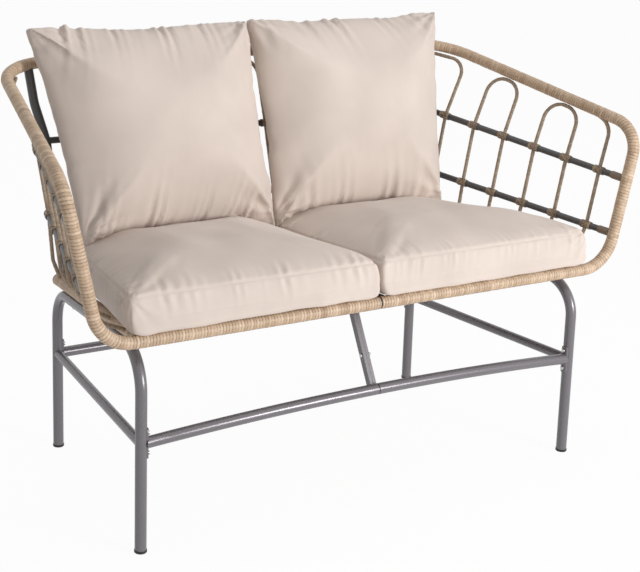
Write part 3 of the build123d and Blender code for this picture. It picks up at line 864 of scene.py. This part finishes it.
SEAM_STEP = 2.0
SEAT_CAP, SEAT_PRESSURE = 0.014, 5.0
TOP_SEWING = {"depth": 0.0026, "width": 0.003, "gather": 0.0036, "reach": 0.026, "wave": 0.02}
BOTTOM_SEWING = {"depth": 0.0012, "width": 0.003, "gather": 0.0008, "reach": 0.02, "wave": 0.04}
CORNER_SEWING = {"depth": 0.0014, "width": 0.003, "gather": 0.0003, "reach": 0.02, "wave": 0.03}

# How the lower front edge is drawn out over the rail, and the two cushions to each other
EDGE_HEIGHT = 26
EDGE_LIMIT = 1.1
EDGE_RUN, EDGE_FADE = 34, 30
EDGE_PUSH, EDGE_DROP = 13, 3.2
INNER_WIDTH, INNER_RUN, INNER_FADE = 24, 9, 30
INNER_PUSH = 7
INNER_SQUEEZE = 0.55


def on_seat(across, run, height):
    return SEAT_ORIGIN + across * X_AXIS + run * SLOPE_DIR + height * SLOPE_UP


def rounded_loop(corners, radius):
    """A closed loop with rounded corners in the plane of the given two-number points."""
    pts = [np.array((*corner, 0.0)) for corner in corners]
    middle = (pts[0] + pts[1]) / 2
    ring = [middle] + pts[1:] + [pts[0], middle]
    path, _ = fillet_path(ring, [radius] * len(corners), SEAM_STEP)
    return path[:, :2]


def seat_loop(sign, height, inset, radius):
    """A seam that runs round the seat cushion."""
    loop = rounded_loop(np.array(SEAT_OUTLINE) + inset * np.array(INWARD), radius)
    return mirrored(on_seat(loop[:, :1], loop[:, 1:], height), sign) * MM


def seat_seams(sign):
    """Upper and lower seams, and the upright ones at the corners of the boxed side."""
    rise = np.linspace(BOTTOM_SEAM["height"], TOP_SEAM["height"], CORNER_SEAM_STEPS)[:, None]
    uprights = [mirrored(on_seat(across, run, rise), sign) * MM for across, run in CORNER_SEAMS]
    return seat_loop(sign, **TOP_SEAM), seat_loop(sign, **BOTTOM_SEAM), uprights


def lower_front(obj):
    """Draws the lower front edge of a seat cushion out over the wound rail."""
    co = coords(obj)
    local = co / MM - SEAT_ORIGIN
    height, run = local @ SLOPE_UP, local @ SLOPE_DIR
    low = np.clip(1 - height / EDGE_HEIGHT, 0, EDGE_LIMIT)
    push = low * np.clip((EDGE_RUN - run) / EDGE_FADE, 0, 1)
    co += (np.outer(push * EDGE_PUSH, -SLOPE_DIR) - np.outer(push * EDGE_DROP, SLOPE_UP)) * MM
    inner = np.clip(1 - np.abs(co[:, 0]) / MM / INNER_WIDTH, 0, 1)
    inner *= np.clip(1 - (run + INNER_RUN) / INNER_FADE, 0, 1)
    co[:, 1] -= inner * INNER_PUSH * MM
    co[:, 0] *= 1 - INNER_SQUEEZE * inner
    set_coords(obj, co)


top, bottom, uprights = seat_seams(1)
right_seat = puffed(
    "right_seat_cushion_cover", "right_seat_cushion", [top, bottom], SEAT_CAP, SEAT_PRESSURE,
)
seat_forms = {"right": right_seat, "left": twin(right_seat, "left_seat_cushion_cover")}
for side, sign in SIDES:
    seat = seat_forms[side]
    top, bottom, uprights = seat_seams(sign)
    lower_front(seat)
    slack(seat, amount=0.0012, seed=51 + sign)
    corner_folds(seat, [line[-1] for line in uprights], amount=0.0012, reach=0.09, seed=61 + sign)
    seam_work(seat, [top], seed=31 + sign, **TOP_SEWING)
    seam_work(seat, [bottom], seed=35 + sign, **BOTTOM_SEWING)
    seam_work(seat, uprights, seed=37 + sign, **CORNER_SEWING)
    dress(seat, FABRIC, "cushion_fabric", f"{side}_seat_cushion")

# Back cushions: knife-edge pillows with gathers along the seams, on the lattice and the seat
LEAN = np.array((0, 147.0, 413.0)) / math.hypot(147, 413)
PILLOW_ORIGIN = np.array((0, 106.0, 493.0))
PILLOW_CORNERS = ((1, 0), (452, 0), (513, 436), (1, 436))
PILLOW_DRAW_IN = 10
PILLOW_SEAM_STEPS = 150
PILLOW_CAP, PILLOW_PRESSURE = 0.02, 7.0
LEVEL_SEWING = {"depth": 0.0, "width": 0.003, "gather": 0.0105, "reach": 0.06, "wave": 0.028}
UPRIGHT_SEWING = {"depth": 0.0, "width": 0.003, "gather": 0.003, "reach": 0.05, "wave": 0.05}

# How the foot sinks onto the seat cushion
FOOT_DRAW_IN = 9.4
FOOT_STEPS = 60
FOOT_END_INSET = 0.004
FOOT_OVERLAP = 0.007
FOOT_LIMIT = 0.05
FOOT_HEIGHT = 90
FOOT_FALL = 1.5
ABOVE_SEAT = 0.7

# How the back is pressed against the lattice
LASHING_REACH = BAR_RADIUS + 2.6
PRESS_SOFTNESS = 4.0
PRESS_BULGE = 4.0
PRESS_BAR_RUN = 24.0
PRESS_STEP = 2.0


def pillow_sides(sign):
    """The four sewn edges of a back cushion, drawn in between its corners."""
    corners = [np.array(c, float) for c in PILLOW_CORNERS]
    middle = sum(corners) / 4
    t = np.linspace(0, 1, PILLOW_SEAM_STEPS)[:, None]
    sides = []
    for a, b in zip(corners, corners[1:] + corners[:1]):
        inward = unit(middle - (a + b) / 2)
        line = a + (b - a) * t + inward * PILLOW_DRAW_IN * 4 * t * (1 - t)
        sides.append(mirrored(PILLOW_ORIGIN + line[:, :1] * X_AXIS + line[:, 1:] * LEAN, sign) * MM)
    return sides


def settle(pillow, seat):
    """Lets the foot of a back cushion sink onto the seat cushion under it."""
    bpy.context.view_layer.update()
    below = bvhtree.BVHTree.FromObject(seat, bpy.context.evaluated_depsgraph_get())
    co = coords(pillow)
    places = np.linspace(co[:, 0].min() + FOOT_END_INSET, co[:, 0].max() - FOOT_END_INSET, FOOT_STEPS)
    share = np.linspace(0, 1, FOOT_STEPS)
    foot = (PILLOW_ORIGIN[2] + FOOT_DRAW_IN * 4 * share * (1 - share)) * MM
    gaps = []
    for x, height in zip(places, foot):
        above = Vector((x, PILLOW_ORIGIN[1] * MM, ABOVE_SEAT))
        hit = below.ray_cast(above, Vector((0, 0, -1)))[0]
        gaps.append(np.nan if hit is None else height - hit.z + FOOT_OVERLAP)
    gaps = np.array(gaps)
    known = ~np.isnan(gaps)
    gap = np.clip(np.interp(places, places[known], gaps[known]), 0, FOOT_LIMIT)
    low = np.clip(1 - (co / MM - PILLOW_ORIGIN) @ LEAN / FOOT_HEIGHT, 0, 1) ** FOOT_FALL
    co[:, 2] -= np.interp(co[:, 0], places, gap) * low
    set_coords(pillow, co)


def press_back(pillow):
    """Flattens the back of a back cushion against the lattice, a little proud between the rods."""
    rod, _ = fillet_path(BACK[0], ROD_BENDS, PRESS_STEP)
    co = coords(pillow) / MM
    between = np.sin(math.pi * (np.abs(co[:, 0]) - BACK_START) / BACK_STEP) ** 2
    for knot in (LOWER_KNOT, UPPER_KNOT):
        between *= 1 - fade(co[:, 2] - knot[2], PRESS_BAR_RUN)
    limit = np.interp(co[:, 2], rod[::-1, 2], rod[::-1, 1]) - LASHING_REACH + PRESS_BULGE * between
    room = (limit - co[:, 1]) / PRESS_SOFTNESS
    co[:, 1] = limit - np.logaddexp(0, room) * PRESS_SOFTNESS
    set_coords(pillow, co * MM)


right_pillow = puffed(
    "right_back_cushion_cover", "right_back_cushion", pillow_sides(1), PILLOW_CAP, PILLOW_PRESSURE,
)
pillow_forms = {"right": right_pillow, "left": twin(right_pillow, "left_back_cushion_cover")}
for side, sign in SIDES:
    pillow = pillow_forms[side]
    foot, outer, head, inner = pillow_sides(sign)
    corners = [line[0] for line in (foot, outer, head, inner)]
    slack(pillow, amount=0.002, seed=71 + sign)
    settle(pillow, seat_forms[side])
    corner_folds(pillow, corners, amount=0.0022, reach=0.13, seed=81 + sign)
    seam_work(pillow, [foot, head], seed=41 + sign, **LEVEL_SEWING)
    seam_work(pillow, [outer, inner], seed=45 + sign, **UPRIGHT_SEWING)
    press_back(pillow)
    dress(pillow, FABRIC, "cushion_fabric", f"{side}_back_cushion")

# Floor, light and camera
WHITE = (1, 1, 1, 1)
FLOOR_SIZE = 40
FLOOR_COLOUR = (0.93, 0.93, 0.93, 1)
FLOOR_GLOW_SHARE = 0.95
WORLD_LIGHT = 0.42
LAMP_TARGET = (0, 0, 0.5)


def seen_rays(tree):
    """1 for rays from the camera and from reflections, and 0 for the light on the object."""
    path = tree.nodes.new("ShaderNodeLightPath")
    rays = maths(tree, "MAXIMUM")
    link(tree, path, "Is Camera Ray", rays, 0)
    link(tree, path, "Is Glossy Ray", rays, 1)
    return rays


def floor_material():
    """A pale floor that shows as white and keeps a faint shadow."""
    mat, tree, bsdf = new_material("pale_floor")
    bsdf.inputs["Base Color"].default_value = FLOOR_COLOUR
    bsdf.inputs["Roughness"].default_value = 0.9
    glow = tree.nodes.new("ShaderNodeEmission")
    glow.inputs["Color"].default_value = WHITE
    glow.inputs["Strength"].default_value = 1.0
    share = maths(tree, "MULTIPLY")
    share.inputs[1].default_value = FLOOR_GLOW_SHARE
    link(tree, seen_rays(tree), 0, share, 0)
    mixed = tree.nodes.new("ShaderNodeMixShader")
    link(tree, share, 0, mixed, 0)
    link(tree, bsdf, "BSDF", mixed, 1)
    link(tree, glow, "Emission", mixed, 2)
    link(tree, mixed, "Shader", tree.nodes["Material Output"], "Surface")
    return mat


def light_world():
    """A plain grey light all round, which the camera and reflections see as white."""
    world = bpy.data.worlds.new("studio")
    world.use_nodes = True
    tree = world.node_tree
    light = tree.nodes["Background"]
    light.inputs["Color"].default_value = WHITE
    light.inputs["Strength"].default_value = WORLD_LIGHT
    seen = tree.nodes.new("ShaderNodeBackground")
    seen.inputs["Color"].default_value = WHITE
    seen.inputs["Strength"].default_value = 1.0
    mixed = tree.nodes.new("ShaderNodeMixShader")
    link(tree, seen_rays(tree), 0, mixed, 0)
    link(tree, light, "Background", mixed, 1)
    link(tree, seen, "Background", mixed, 2)
    link(tree, mixed, "Shader", tree.nodes["World Output"], "Surface")
    scene.world = world


def lamp(name, location, size, power):
    """A round soft lamp that faces the seat."""
    data = bpy.data.lights.new(name, "AREA")
    data.shape = "DISK"
    data.size = size
    data.energy = power
    obj = new_object(name, data)
    obj.location = location
    obj.rotation_euler = (Vector(LAMP_TARGET) - Vector(location)).to_track_quat("-Z", "Y").to_euler()


bpy.ops.mesh.primitive_plane_add(size=FLOOR_SIZE, location=(0, 0, 0))
floor = bpy.context.object
floor.name = "floor"
floor.data.materials.append(floor_material())

scene.view_settings.view_transform = "Standard"
light_world()
lamp("key", (1.7, -3.8, 1.3), size=1.4, power=120)
lamp("top", (0.4, 0.2, 3.4), size=2.2, power=18)

# The camera's place in millimetres, its turns in radians and its lens in pixels of the photograph
CAMERA_PLACE = (-1512.2, -2413.3, 1236.6)
CAMERA_YAW, CAMERA_PITCH, CAMERA_ROLL = 0.5117, 0.2167, 0.0196
CAMERA_SHIFT = (0.13, -0.18)
LENS_PIXELS = 1389.2
PHOTO_WIDTH = 640
SENSOR_WIDTH = 36


def camera_axes(yaw, pitch, roll):
    """Unit vectors to the right of the view, above it and towards the viewer."""
    level = math.cos(pitch)
    forward = np.array((math.sin(yaw) * level, math.cos(yaw) * level, -math.sin(pitch)))
    right = np.array((math.cos(yaw), -math.sin(yaw), 0))
    above = np.cross(right, forward)
    tilted_right = right * math.cos(roll) + above * math.sin(roll)
    tilted_above = above * math.cos(roll) - right * math.sin(roll)
    return tilted_right, tilted_above, -forward


camera_data = bpy.data.cameras.new("camera")
camera_data.lens = LENS_PIXELS * SENSOR_WIDTH / PHOTO_WIDTH
camera_data.shift_x, camera_data.shift_y = CAMERA_SHIFT
camera = new_object("camera", camera_data)
pose = np.eye(4)
pose[:3, :3] = np.stack(camera_axes(CAMERA_YAW, CAMERA_PITCH, CAMERA_ROLL), axis=1)
pose[:3, 3] = np.array(CAMERA_PLACE) * MM
camera.matrix_world = Matrix(pose.tolist())
scene.camera = camera

bpy.context.view_layer.update()
